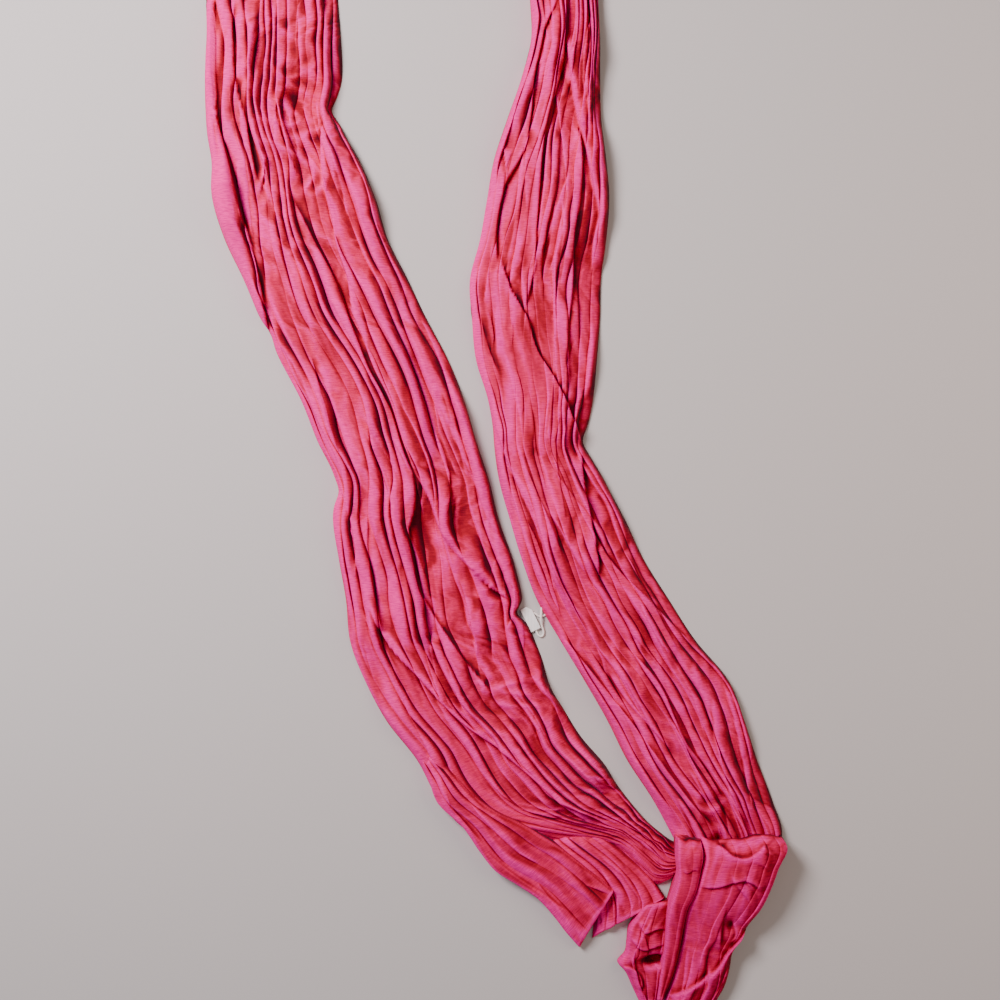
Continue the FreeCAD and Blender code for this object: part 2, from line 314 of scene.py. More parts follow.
# One layer lying over another along a line: a step up on one side that eases away, with a thin lip.
def lapOver(plan, height, corners, lap, soft=1.6):
    best = np.full(height.shape, 1e9)
    signed = np.zeros(height.shape)
    along = np.zeros(height.shape)
    outX = np.zeros(height.shape)
    outY = np.zeros(height.shape)
    run = 0.0
    for a, b in zip(corners[:-1], corners[1:]):
        step = b - a
        length = np.hypot(*step)
        unit = step / length
        dx = plan[..., 0] - a[0]
        dy = plan[..., 1] - a[1]
        t = np.clip(dx * unit[0] + dy * unit[1], 0, length)
        gap = np.hypot(dx - t * unit[0], dy - t * unit[1])
        side = np.sign(unit[0] * dy - unit[1] * dx) * lap["over"]
        near = gap < best
        best = np.where(near, gap, best)
        signed = np.where(near, gap * side, signed)
        along = np.where(near, run + t, along)
        outX = np.where(near, -unit[1] * lap["over"], outX)
        outY = np.where(near, unit[0] * lap["over"], outY)
        run += length
    ends = smoothStep(along / lap["fade"]) * smoothStep((run - along) / lap["fade"])
    top = smoothStep(signed / soft + 0.5) * np.exp(-np.clip(signed, 0, None) / lap["back"])
    low = -lap["dip"] * np.exp(np.clip(signed, None, 0) / 5.0) * smoothStep(-signed / soft + 0.5)
    height += lap["rise"] * ends * (top + low)
    reach = lap["lip"] * ends * smoothStep(signed / 1.2 + 0.5) * np.clip(1 - signed / 4.0, 0, 1)
    plan[..., 0] -= reach * outX
    plan[..., 1] -= reach * outY


# The point at a share of the width of the row at one distance down, and the way across that row.
def pointOn(spec, distance, share):
    rows = np.array(spec["rows"], float)
    margins = smoothAt(rows[:, 0], rows[:, 1:], np.array([float(distance)]))[0]
    across = margins[2:] - margins[:2]
    return margins[:2] + across * share, across


# How far the folds die away, from 0 to 1, near the places that lie smooth.
def calmAt(spec, share, distance):
    left = 1.0
    for at, place, wide, long, strength in spec["calm"]:
        left = left * (1 - strength * np.exp(-((share - place) / wide) ** 2 - ((distance - at) / long) ** 2))
    return 1 - left


# Where the folds' tops and the valleys between them run, as shares of the width, and how high they stand.
def layFolds(spec, down, width):
    seed = spec["seed"]
    tops = np.array([smoothAt(spec["stations"], fold, down) for fold in spec["places"]])
    heights = np.array([smoothAt(spec["stations"], fold, down) for fold in spec["heights"]])
    ids = np.arange(len(tops))[:, None]
    tops = tops + (spec["wobble"] * softNoise(down[None] / 62, ids * 3.7, seed)
                   + 0.35 * spec["wobble"] * softNoise(down[None] / 24, ids * 4.1, seed + 8)) / width
    tops = np.sort(tops, axis=0)
    heights = heights * np.clip(0.85 + 1.1 * softNoise(down[None] / 52, ids * 5.3 + 7, seed + 1), 0.1, 1.7)
    # A fold lies like a shingle: one flank is short and steep, the other long; some valleys are shallow.
    fall = 0.5 + spec["shingle"] + 0.3 * softNoise(down[None] / 75, ids[1:] * 2.3, seed + 2)
    fall = np.clip(fall, 0.14, 0.86)
    shallow = spec["shallow"] + 0.85 * softNoise(down[None] / 58, ids[1:] * 6.1 + 3, seed + 9)
    shallow = np.clip(shallow, 0, 0.92)
    margin = np.zeros((1, len(down)))
    floors = np.concatenate([margin, np.minimum(heights[1:], heights[:-1]) * shallow, margin])
    valleys = np.concatenate([margin, tops[:-1] + np.diff(tops, axis=0) * fall, margin + 1])
    # Some folds are crowded together and others lie wide.
    crowded = []
    for part in (tops, valleys):
        shift = spec["crowd"] * softNoise(part * 3.6, down[None] / 210, seed + 12)
        crowded.append(part + shift * 4 * part * (1 - part))
    return *crowded, heights, floors


# The share and the height of every column: each fold swells up from its two valleys and pinches in below.
def foldColumns(spec, down, width):
    tops, valleys, heights, floors = layFolds(spec, down, width)
    q = np.linspace(-1, 1, spec["columns"] + 1)[:-1]
    bend = (q + spec["pinch"] * np.sin(np.pi * q))[:, None]
    swell = ((0.5 + 0.5 * np.cos(np.pi * q)) ** spec["flatness"])[:, None]
    onLeft = (q < 0)[:, None]
    share = []
    lift = []
    for k in range(len(tops)):
        half = np.where(onLeft, tops[k] - valleys[k], valleys[k + 1] - tops[k])
        base = np.where(onLeft, floors[k], floors[k + 1])
        share.append(tops[k] + half * bend)
        lift.append(base + (heights[k] - base) * swell)
    share.append(np.ones((1, len(down))))
    lift.append(np.zeros((1, len(down))))
    return np.concatenate(share).T, np.concatenate(lift).T


def addLaps(spec, plan, height):
    for lap in spec["laps"]:
        line = np.array([pointOn(spec, distance, share)[0] for distance, share in lap["line"]])
        if len(line) > 2:
            steps = np.concatenate([[0], np.cumsum(np.hypot(*np.diff(line, axis=0).T))])
            line = smoothAt(steps, line, np.linspace(0, steps[-1], 5 * len(line)))
        lapOver(plan, height, line, {**usualLap, **lap}, 2.6)


# Small laps scattered at random, on a slant to the folds and a little bowed.
def addCreases(spec, plan, height):
    first, last = spec["rows"][0][0], spec["rows"][-1][0]
    chance = np.random.default_rng(spec["seed"] + 50)
    for n in range(spec["creases"]):
        begin = chance.uniform(first - 20, last - 20)
        share = chance.uniform(0.05, 0.95)
        long = chance.uniform(40, 130)
        slant = chance.normal(0, 5.5)
        bow = chance.normal(0, 3.5)
        line = []
        for t in (0, 0.25, 0.5, 0.75, 1):
            distance = np.clip(begin + long * t, first, last)
            start, across = pointOn(spec, distance, 0)
            offset = (slant * (t - 0.5) * 2 + bow * (4 * t * (1 - t) - 0.5)) / np.hypot(*across)
            line.append(start + across * np.clip(share + offset, 0.02, 0.98) + 1e-3 * np.arange(2) * t)
        if np.hypot(*(line[-1] - line[0])) < 20:
            continue
        rise = chance.uniform(0.8, 3.0) * (1 - calmAt(spec, share, begin + long / 2))
        if spec["easeNarrow"]:
            rise *= np.clip((np.hypot(*across) - 40) / 90, 0.1, 1)
        back = chance.uniform(4, 14)
        over = 1 if chance.random() < 0.5 + spec["shingle"] else -1
        lapOver(plan, height, np.array(line),
                {"over": over, "rise": rise, "back": back, "lip": 0.7, "dip": 0.45, "fade": 15.0})


# Fine pleats that run with the folds, short wrinkles that cross them, and crumples at set places.
def fineRelief(spec, share, down, width):
    seed = spec["seed"]
    down = down[:, None]
    across = share * width[:, None]
    fine = crestNoise(across / 7.5, down / 85, seed + 4)
    finer = crestNoise(across / 3.6 + down / 60, down / 46, seed + 5)
    crossing = crestNoise((across + 0.5 * down) / 26, (down - 0.3 * across) / 11, seed + 6)
    strength = 0.6 + 0.4 * softNoise(across / 30, down / 60, seed + 7)
    if spec["easeNarrow"]:
        strength = strength * np.clip(width / 130, 0.3, 1)[:, None]
    relief = strength * (1 - 0.7 * calmAt(spec, share, down)) * (
        spec["pleat"] * (fine + 0.45 * finer) + spec["wrinkle"] * crossing)
    for at, place, wide, long, depth in spec["crumple"]:
        near = np.exp(-((share - place) / wide) ** 2 - ((down - at) / long) ** 2)
        slant = (across + 0.9 * down) / 30 + 0.6 * softNoise(across / 30, down / 30, seed + 14)
        relief = relief + depth * near * crestNoise(slant, (down - 0.6 * across) / 24, seed + 13)
    return relief


# The grid of points of one gathered stretch, in millimetres, with the painted light and shade that its folds
# give it.
def clothGrid(settings):
    spec = {**usualCloth, **settings}
    seed = spec["seed"]
    rows = np.array(spec["rows"], float)
    first, last = rows[0, 0], rows[-1, 0]
    down = np.linspace(first, last, int(round((last - first) / spec["step"])) + 1)
    edges = smoothAt(rows[:, 0], rows[:, 1:], down)
    left, right = edges[:, :2], edges[:, 2:]
    width = np.hypot(*(right - left).T)
    share, lift = foldColumns(spec, down, width)
    lift = lift * (1 - calmAt(spec, share, down[:, None]))

    # The pile is highest in the middle and rounds down to the surface at both margins.
    edge = np.clip(np.minimum(share, 1 - share) * width[:, None], 0, None)
    wall = np.sqrt(np.clip(1 - (1 - np.clip(edge / spec["round"], 0, 1)) ** 2, 0, 1))
    crown = spec["crown"] * smoothStep(edge / (0.35 * width[:, None]))
    height = (spec["bed"] + crown + lift + spec["tilt"] * share) * wall
    lean = spec["lean"] * softNoise(share * 5, down[:, None] / 120, seed + 3) * np.clip(lift / 10, 0, 1.3)
    across = (right - left)[:, None, :]
    plan = left[:, None, :] + across * (share + lean / width[:, None] * wall)[..., None]

    for at, onRight, depth, long, inward in spec["nicks"]:
        near = smoothStep((share - 1 + inward) / inward if onRight else (inward - share) / inward)
        push = depth * near * np.exp(-((down[:, None] - at) / long) ** 2) * (-1 if onRight else 1)
        plan += push[..., None] * across / width[:, None, None]
    addLaps(spec, plan, height)
    addCreases(spec, plan, height)
    for distance, place, wide, long, depth in spec["dents"]:
        centre = pointOn(spec, distance, place)[0]
        off = ((plan[..., 0] - centre[0]) / wide) ** 2 + ((plan[..., 1] - centre[1]) / long) ** 2
        height -= depth * np.exp(-off)
    height += wall * fineRelief(spec, share, down, width)

    # The first row's hem waves a little, and a row that ends in sight comes down in a soft edge.
    wave = softNoise(share * 6, 0 * share, seed + 20) * np.exp((first - down[:, None]) / 16)
    plan[..., 1] += spec["hem"] * wave
    for distance, depth in zip((down - first, last - down), spec["ends"]):
        if depth:
            fall = np.clip(distance / depth, 0, 1)
            height *= (0.02 + 0.98 * np.sqrt(np.clip(1 - (1 - fall) ** 2, 0, 1)))[:, None]
    if "lift" in spec:
        height += smoothAt(spec["lift"][0], spec["lift"][1], down)[:, None] * np.clip(wall * 1.6, 0, 1)
    height = np.maximum(height, spec["lowest"])
    points = np.concatenate([plan, height[..., None]], -1)

    # Painted light and shade: cloth that stands over its neighbours, or faces the light side, is painted
    # paler, and cloth in the valleys or facing away is painted darker.
    slope = np.gradient(height, axis=1) / np.maximum(np.gradient(share, axis=1) * width[:, None], 0.15)
    tone = 0.5 + (height - spreadOut(height, 6)) / 8.0 + 0.24 * np.clip(spreadOut(slope, 3), -1.4, 1.4)
    return down, left, right, points, tone


# Columns that carry the cloth round each margin and a little way back underneath.
def tuckUnder(points, left, right, spec):
    inward = (right - left) / np.hypot(*(right - left).T)[:, None]
    sides = []
    for margin, sign in ((0, 1), (-1, -1)):
        columns = []
        for part in (0.12, 0.35, 0.65, 1.0):
            column = points[:, margin, :].copy()
            column[:, :2] += inward * spec["tuck"] * part * sign
            column[:, 2] = spec["floor"]
            columns.append(column)
        sides.append(columns)
    return np.stack(sides[0][::-1], 1), np.stack(sides[1], 1)


# Columns that carry the cloth all the way back underneath, so that the piece is a closed fold.
def closeBelow(points, spec):
    below = points[:, ::-4][:, 1:-1].copy()
    under = np.full(below.shape[:2], spec["floor"])
    if "thick" in spec:
        under = np.maximum(under, below[..., 2] - spec["thick"])
    below[..., 2] = np.minimum(under, below[..., 2])
    return np.concatenate([below, points[:, :1]], 1)


# One stretch of cloth, from the rows of its grid between two distances down.
def makeCloth(name, settings, grid, material, first, last):
    spec = {**usualCloth, **settings}
    step = grid[0][1] - grid[0][0]
    rows = (grid[0] > first - step / 2) & (grid[0] < last + step / 2)
    down, left, right, points, tone = (part[rows] for part in grid)
    if spec["closed"]:
        below = closeBelow(points, spec)
        points = np.concatenate([points, below], 1)
        # The cloth that goes back underneath takes a darker tone: painted shade.
        tone = np.concatenate([tone, np.full(below.shape[:2], 0.42)], 1)
    else:
        before, after = tuckUnder(points, left, right, spec)
        points = np.concatenate([before, points, after], 1)
        # The cloth tucked under each margin takes a darker tone: painted shade.
        tone = np.concatenate([np.full(before.shape[:2], 0.3), tone, np.full(after.shape[:2], 0.3)], 1)

    # A flat grid of the right count, whose vertices then go to their places.
    countDown, countAcross = points.shape[:2]
    bm = bmesh.new()
    bmesh.ops.create_grid(bm, x_segments=countAcross - 1, y_segments=countDown - 1, size=1.0)
    mesh = bpy.data.meshes.new(name)
    bm.to_mesh(mesh)
    bm.free()
    flat = np.empty(len(mesh.vertices) * 3)
    mesh.vertices.foreach_get("co", flat)
    flat = flat.reshape(-1, 3)
    column = np.rint((flat[:, 0] + 1) / 2 * (countAcross - 1)).astype(int)
    row = countDown - 1 - np.rint((flat[:, 1] + 1) / 2 * (countDown - 1)).astype(int)
    mesh.vertices.foreach_set("co", (points[row, column] * mm).ravel())

    # The tone goes with the vertices; the cloth map measures millimetres across and along the cloth.
    mesh.attributes.new("relief", "FLOAT", "POINT").data.foreach_set(
        "value", np.clip(tone[row, column], 0, 1).astype(np.float32))
    spacing = np.linalg.norm(np.diff(points, axis=1), axis=2)
    run = np.concatenate([np.zeros((countDown, 1)), np.cumsum(spacing, 1)], 1)
    cloth = np.stack([run[row, column], down[row]], 1)
    corner = np.empty(len(mesh.loops), dtype=np.int32)
    mesh.loops.foreach_get("vertex_index", corner)
    clothMap = mesh.uv_layers.new(name="cloth")
    clothMap.data.foreach_set("uv", cloth[corner].astype(np.float32).ravel())

    if spec["closed"]:
        bm = bmesh.new()
        bm.from_mesh(mesh)
        bmesh.ops.remove_doubles(bm, verts=bm.verts, dist=0.00002)
        if spec["capped"]:
            openEdges = [edge for edge in bm.edges if edge.is_boundary]
            bmesh.ops.holes_fill(bm, edges=openEdges, sides=0)
        bmesh.ops.recalc_face_normals(bm, faces=bm.faces)
        bm.to_mesh(mesh)
        bm.free()
    elif sum(polygon.normal.z * polygon.area for polygon in mesh.polygons) < 0:
        mesh.flip_normals()
    for polygon in mesh.polygons:
        polygon.use_smooth = True
    mesh.materials.append(material)
    piece = bpy.data.objects.new(name, mesh)
    bpy.context.collection.objects.link(piece)
    print(name, len(mesh.polygons), "faces, top", round(points[..., 2].max(), 1), "mm")
    return piece


# The left run: where its margins lie and how its folds wander, distance down first.
leftRun = {
    "rows": [
        (0, -287, 417, -156, 417), (40, -286, 377, -153, 377), (80, -288, 337, -152, 337),
        (110, -287.5, 307, -158, 307), (135, -286, 282, -149, 282), (160, -282, 257, -135, 257),
        (200, -281, 217, -118, 217), (240, -269, 177, -106, 177), (280, -250, 137, -86, 137),
        (320, -233, 97, -67, 97), (360, -214, 57, -46, 57), (400, -193, 17, -30, 17),
        (440, -177, -23, -18, -23), (480, -159, -63, -5, -63), (520, -161, -103, 5, -103),
        (560, -155, -143, 19, -143), (600, -148, -183, 29, -181), (640, -144, -223, 37.5, -214),
        (680, -131, -259, 48, -242), (720, -108, -303, 56, -269),
        (760, -77, -343, 69, -291), (800, -55, -383, 88, -321), (830, -30, -411, 108, -344),
        (870, 16, -420, 122, -366), (910, 68, -424, 138, -387), (950, 112, -430, 153, -404),
        (990, 140, -450, 166, -415), (1030, 159, -467, 178, -423.5), (1064, 176, -462, 189, -427)],
    "stations": [0, 100, 200, 300, 400, 500, 600, 700, 800, 950, 1064],
    "places": [
        (.03, .045, .08, .03, .03, .03, .02, .04, .05, .05, .06),
        (.13, .15, .19, .08, .065, .085, .06, .10, .11, .12, .13),
        (.21, .22, .25, .13, .12, .14, .13, .16, .18, .19, .20),
        (.28, .30, .31, .21, .22, .19, .19, .22, .24, .26, .27),
        (.35, .37, .37, .285, .315, .25, .25, .29, .32, .33, .34),
        (.43, .43, .43, .35, .37, .31, .31, .345, .40, .40, .41),
        (.50, .49, .48, .42, .42, .38, .38, .42, .47, .47, .48),
        (.56, .56, .54, .50, .47, .46, .46, .50, .555, .55, .55),
        (.63, .62, .60, .56, .52, .53, .54, .57, .62, .62, .62),
        (.70, .70, .67, .63, .58, .60, .62, .635, .68, .68, .69),
        (.76, .77, .74, .70, .66, .67, .70, .71, .75, .75, .76),
        (.82, .83, .81, .78, .74, .75, .78, .79, .81, .82, .83),
        (.89, .89, .88, .86, .82, .84, .87, .87, .88, .89, .90),
        (.965, .97, .96, .955, .93, .94, .95, .955, .96, .96, .96)],
    "heights": [
        (12, 13, 15, 6, 5, 5, 6, 8, 8, 3, 4), (14, 13, 6, 8, 7, 9, 8, 9, 8, 4, 4),
        (9, 8, 6, 12, 13, 10, 11, 10, 8, 4, 4), (10, 9, 7, 4, 3, 7, 8, 6, 5, 4, 4),
        (8, 8, 8, 11, 11, 11, 10, 5, 3, 5, 5), (9, 7, 6, 6, 9, 12, 11, 7, 3, 5, 5),
        (7, 6, 8, 11, 11, 12, 12, 9, 4, 6, 5), (6, 7, 9, 9, 9, 11, 9, 10, 9, 6, 5),
        (5, 5, 4, 3, 3, 3, 4, 8, 10, 7, 5), (6, 4, 5, 9, 12, 9, 6, 9, 10, 7, 5),
        (8, 4, 10, 12, 11, 10, 10, 10, 9, 7, 5), (10, 6, 12, 9, 10, 9, 8, 9, 10, 7, 5),
        (11, 12, 10, 8, 6, 5, 7, 9, 9, 7, 5), (12, 12, 11, 9, 9, 9, 9, 10, 9, 7, 5)],
    "laps": [
        {"line": [(0, .06), (40, .065), (80, .08), (110, .09), (160, .125), (200, .165), (235, .165),
                  (270, .12), (300, .07), (335, .01)], "over": -1, "rise": 7, "back": 14, "fade": 8},
        {"line": [(0, .235), (50, .205), (70, .22), (95, .26), (125, .31), (150, .295), (190, .30)],
         "over": -1, "rise": 5, "back": 20},
        {"line": [(120, .90), (140, .82), (165, .74), (190, .71), (220, .705), (245, .68), (280, .64),
                  (310, .585), (340, .565), (370, .54), (400, .55), (440, .545), (470, .54), (500, .60),
                  (530, .635), (555, .70), (575, .78), (592, .86), (604, .95)],
         "over": 1, "rise": 6, "back": 18},
        {"line": [(200, .50), (240, .55), (290, .56), (330, .53), (370, .51), (410, .53), (450, .52),
                  (480, .52), (510, .50), (530, .45), (560, .43), (590, .43), (610, .47), (640, .54),
                  (680, .60), (720, .68)], "over": -1, "rise": 5, "back": 12},
        {"line": [(600, .13), (640, .20), (680, .29), (710, .36), (740, .41), (780, .53), (830, .60),
                  (870, .55), (908, .47)], "over": 1, "rise": 7, "back": 16, "dip": 0.5},
        {"line": [(400, .84), (440, .87), (480, .90), (520, .94), (540, .97)],
         "over": 1, "rise": 3, "back": 9},
        {"line": [(340, .05), (380, .07), (420, .06), (470, .07), (510, .10), (545, .12), (580, .07)],
         "over": 1, "rise": 4, "back": 8}],
    "dents": [(100, .73, 20, 30, 9), (160, .66, 16, 22, 6), (540, .54, 13, 40, 4)],
    "nicks": [(617, 1, 9.5, 11, 0.13), (112, 1, 4, 9, 0.12), (335, 0, 3, 12, 0.08), (492, 0, 3, 10, 0.08)],
    "calm": [(300, .20, .08, 80, .8), (265, .61, .07, 45, .7), (545, .54, .10, 60, .8),
             (500, .84, .05, 80, .6), (725, .24, .12, 45, .7), (60, .70, .14, 50, .4),
             (880, .08, .16, 90, .8), (980, .5, .6, 70, .55)],
    "crumple": [(60, .60, .28, 50, 3.0), (150, .55, .25, 60, 3.2), (235, .45, .2, 40, 1.6),
                (700, .65, .3, 90, 1.5), (560, .75, .2, 70, 1.5)],
    "crown": 5.0, "bed": 4.0, "creases": 90, "seed": 3, "step": 1.4, "crowd": 0.07, "easeNarrow": True,
}

# The right run, smoother and broader folded, with one wide panel that crosses over it.
rightRun = {
    "rows": [
        (0, 36, 417, 104, 417), (40, 37, 377, 106, 377), (80, 27, 337, 106, 337), (120, 13, 297, 107, 297),
        (160, 0, 257, 112, 257), (200, -7, 217, 115, 217), (240, -14, 177, 112, 177),
        (280, -24, 137, 107, 137), (320, -22, 97, 106, 97), (360, -18, 57, 103, 57), (400, -6, 17, 99, 17),
        (430, -1, -13, 94, -13), (444, 0, -27, 93, -27), (480, 5, -63, 110, -63), (520, 16, -103, 131, -103),
        (560, 28, -143, 150, -143), (600, 43, -183, 175, -183), (640, 66, -223, 201, -223),
        (680, 90, -263, 234, -263), (720, 113, -303, 250, -303), (760, 133, -343, 263, -343),
        (800, 159, -383, 278, -383), (835, 178, -418, 288, -418), (852, 187, -435, 284, -435)],
    "stations": [0, 100, 200, 300, 400, 500, 600, 700, 800, 852],
    "places": [
        (.06, .05, .04, .03, .04, .04, .03, .04, .05, .06),
        (.14, .13, .09, .08, .09, .10, .09, .10, .12, .14),
        (.22, .20, .16, .15, .16, .17, .17, .17, .19, .22),
        (.30, .29, .23, .22, .24, .25, .26, .25, .27, .30),
        (.38, .37, .31, .30, .32, .32, .33, .32, .34, .37),
        (.45, .44, .39, .38, .40, .39, .40, .39, .41, .44),
        (.53, .51, .46, .45, .47, .46, .46, .45, .47, .50),
        (.60, .58, .52, .52, .54, .53, .53, .51, .53, .56),
        (.67, .65, .59, .58, .61, .60, .60, .58, .59, .61),
        (.74, .72, .66, .64, .68, .67, .67, .65, .66, .67),
        (.80, .79, .73, .71, .75, .75, .74, .73, .73, .74),
        (.86, .85, .80, .79, .82, .83, .82, .81, .80, .81),
        (.92, .91, .88, .87, .89, .90, .90, .89, .88, .88),
        (.97, .97, .96, .95, .96, .97, .97, .97, .96, .96)],
    "heights": [
        (8, 8, 7, 6, 5, 6, 7, 6, 6, 7), (9, 9, 6, 4, 3, 5, 4, 6, 5, 7), (7, 5, 4, 3, 2, 3, 3, 5, 7, 7),
        (8, 7, 7, 3, 2, 7, 8, 5, 8, 8), (9, 8, 7, 4, 2, 5, 6, 6, 5, 8), (7, 7, 6, 5, 2, 3, 3, 6, 6, 8),
        (5, 5, 5, 6, 2, 4, 5, 5, 7, 8), (6, 6, 6, 6, 3, 5, 7, 6, 7, 8), (6, 3, 3, 6, 3, 3, 5, 6, 7, 8),
        (7, 3, 6, 7, 4, 4, 6, 4, 8, 8), (8, 6, 6, 6, 5, 6, 7, 5, 7, 8), (9, 8, 5, 7, 5, 6, 6, 6, 8, 8),
        (9, 9, 7, 6, 5, 6, 5, 6, 7, 7), (9, 9, 9, 7, 6, 7, 6, 6, 6, 7)],
    "laps": [
        {"line": [(0, .42), (15, .32), (30, .20), (50, .155), (80, .165), (120, .25), (150, .265),
                  (165, .22), (180, .16), (210, .115), (240, .13), (270, .20)],
         "over": -1, "rise": 5, "back": 12},
        {"line": [(0, .52), (40, .48), (70, .50), (90, .47), (130, .43), (200, .42), (250, .455),
                  (270, .48), (290, .46), (312, .41)], "over": -1, "rise": 4, "back": 12},
        {"line": [(35, .48), (60, .56), (85, .64), (110, .72), (150, .82), (190, .87), (215, .92),
                  (240, .90), (275, .92)], "over": 1, "rise": 7, "back": 25},
        {"line": [(120, .74), (160, .78), (200, .755), (240, .74), (280, .78), (330, .75), (390, .765)],
         "over": -1, "rise": 4, "back": 8},
        {"line": [(170, .70), (190, .62), (220, .56), (245, .53)], "over": 1, "rise": 3, "back": 12},
        {"line": [(255, .18), (290, .31), (320, .43), (350, .50), (380, .64), (410, .78), (446, .95)],
         "over": -1, "rise": 5.5, "back": 45, "dip": 0.12, "lip": 1.0},
        {"line": [(310, .06), (340, .10), (370, .155), (388, .19)], "over": -1, "rise": 2.5, "back": 5},
        {"line": [(420, .02), (450, .09), (480, .155), (520, .20), (560, .225), (600, .24), (650, .235)],
         "over": 1, "rise": 5, "back": 14},
        {"line": [(500, .335), (530, .40), (555, .44), (578, .47)], "over": 1, "rise": 4, "back": 10},
        {"line": [(447, .93), (480, .80), (510, .72), (540, .66), (565, .60), (582, .53)],
         "over": -1, "rise": 6, "back": 25},
        {"line": [(520, .66), (560, .72), (600, .84), (645, .96)], "over": -1, "rise": 4, "back": 20},
        {"line": [(630, .03), (680, .10), (720, .17), (760, .25), (800, .31), (830, .42)],
         "over": -1, "rise": 4, "back": 10},
        {"line": [(665, .20), (700, .22), (730, .31), (755, .385)], "over": 1, "rise": 4, "back": 12},
        {"line": [(640, .45), (680, .50), (740, .50), (765, .56), (800, .59)],
         "over": -1, "rise": 4, "back": 10},
        {"line": [(690, .83), (740, .72), (790, .66), (828, .67)], "over": 1, "rise": 3, "back": 15}],
    "dents": [(75, .50, 6, 16, 7), (130, .68, 11, 30, 5), (838, .42, 9, 8, 7)],
    "crown": 6.0, "bed": 5.0, "flatness": 0.6, "pleat": 0.7, "lean": 1.5, "seed": 21,
    "creases": 60, "step": 1.45, "crowd": 0.07, "shallow": 0.6,
    "crumple": [(700, .55, .35, 70, 1.2), (800, .45, .35, 45, 1.6), (440, .75, .2, 35, 1.2)],
    "nicks": [(440, 1, 4, 12, 0.12)],
    "calm": [(345, .42, .34, 62, .9), (470, .45, .30, 45, .55), (150, .30, .10, 60, .5),
             (640, .42, .10, 60, .5)],
}

# The closed turn of the loop: its outer margin goes on from the left run's left margin.
topTurn = {
    "rows": [
        (0, -287, 417, -156, 417), (40, -288, 457, -157, 455), (120, -270, 541, -146, 508),
        (220, -205, 615, -115, 543), (320, -98, 645, -78, 554), (420, -2, 632, -44, 545),
        (500, 62, 583, -6, 520), (570, 97, 514, 24, 482), (620, 105, 460, 36, 448), (660, 104, 417, 36, 417)],
    "stations": [0, 220, 440, 660],
    "crown": 5.0, "bed": 4.5, "step": 2.4, "seed": 41,
}


# The turn's folds begin as the left run's and end as the right run's, which meet it the other way round.
def joinTurn():
    start = [fold[0] for fold in leftRun["places"]]
    finish = [1 - fold[0] for fold in rightRun["places"][::-1]]
    rise = [fold[0] for fold in leftRun["heights"]]
    fall = [fold[0] for fold in rightRun["heights"][::-1]]
    even = [(n + 0.5) / len(start) for n in range(len(start))]
    topTurn["places"] = [(a, (a + c) / 2, (b + c) / 2, b) for a, b, c in zip(start, finish, even)]
    topTurn["heights"] = [(a, 9, 8, b) for a, b in zip(rise, fall)]


joinTurn()


# The free end of the left run, which lies over the neck's margin and can be lifted.
endFlap = {
    "rows": [
        (0, -76, -340, -60, -335), (23, -66, -360, -42, -351), (50, -57, -383, -22, -373),
        (85, -30, -409, 6, -393), (109, -16, -430, 28, -403), (134, 1, -451, 48, -415),
        (159, 24, -466, 66, -427), (181, 43, -479, 84, -441), (206, 60, -498, 103, -456),
        (224, 72, -514, 114, -465), (239, 85, -529, 119.5, -470)],
    "stations": [0, 60, 120, 180, 239],
    "places": [(.16, .12, .12, .15, .18), (.42, .40, .36, .42, .46), (.66, .62, .62, .66, .70),
               (.86, .86, .87, .88, .88)],
    "heights": [(3, 2, 2, 2, 2), (4, 3, 2, 2, 1), (4, 3, 3, 3, 3), (5, 5, 5, 5, 4)],
    "lift": ([0, 14, 32, 60, 120, 180, 239], [0, 3, 8, 10, 11, 9, 6]),
    "laps": [{"line": [(110, .10), (150, .14), (190, .16), (236, .12)], "over": -1, "rise": 1.6, "back": 20}],
    "crown": 2.0, "bed": 2.0, "tilt": 7.0, "pleat": 0.5, "wrinkle": 0.5, "wobble": 1.5, "creases": 5,
    "step": 1.2, "columns": 30, "round": 3.5, "thick": 7.0, "closed": True, "capped": True, "ends": (9, 3),
    "seed": 61, "shingle": 0.05,
}

flapUnderlayer = {
    "rows": [(0, 50, -424, 92, -407), (22, 68, -440, 117, -423), (46, 86, -455, 140, -443),
             (66, 96, -473, 158, -461), (84, 100, -496, 168, -475), (98, 98, -521, 170, -478)],
    "stations": [0, 32, 66, 98],
    "places": [(.12, .11, .10, .07), (.20, .22, .23, .24), (.44, .42, .40, .36), (.53, .54, .55, .56),
               (.74, .73, .72, .70), (.91, .91, .92, .93)],
    "heights": [(3, 3, 3, 2), (3, 3, 2, 2), (4, 3, 3, 2), (2, 3, 3, 3), (3, 3, 3, 2), (3, 3, 2, 2)],
    "lift": ([0, 32, 66, 98], [0, 2, 1, 0]), "tilt": 8.0,
    "crown": 2.5, "bed": 1.5, "pleat": 0.5, "wobble": 1.5, "creases": 6, "step": 1.0, "columns": 20,
    "round": 4.0, "closed": True, "capped": True, "ends": (20, 2), "seed": 71, "wrinkle": 0.3,
}

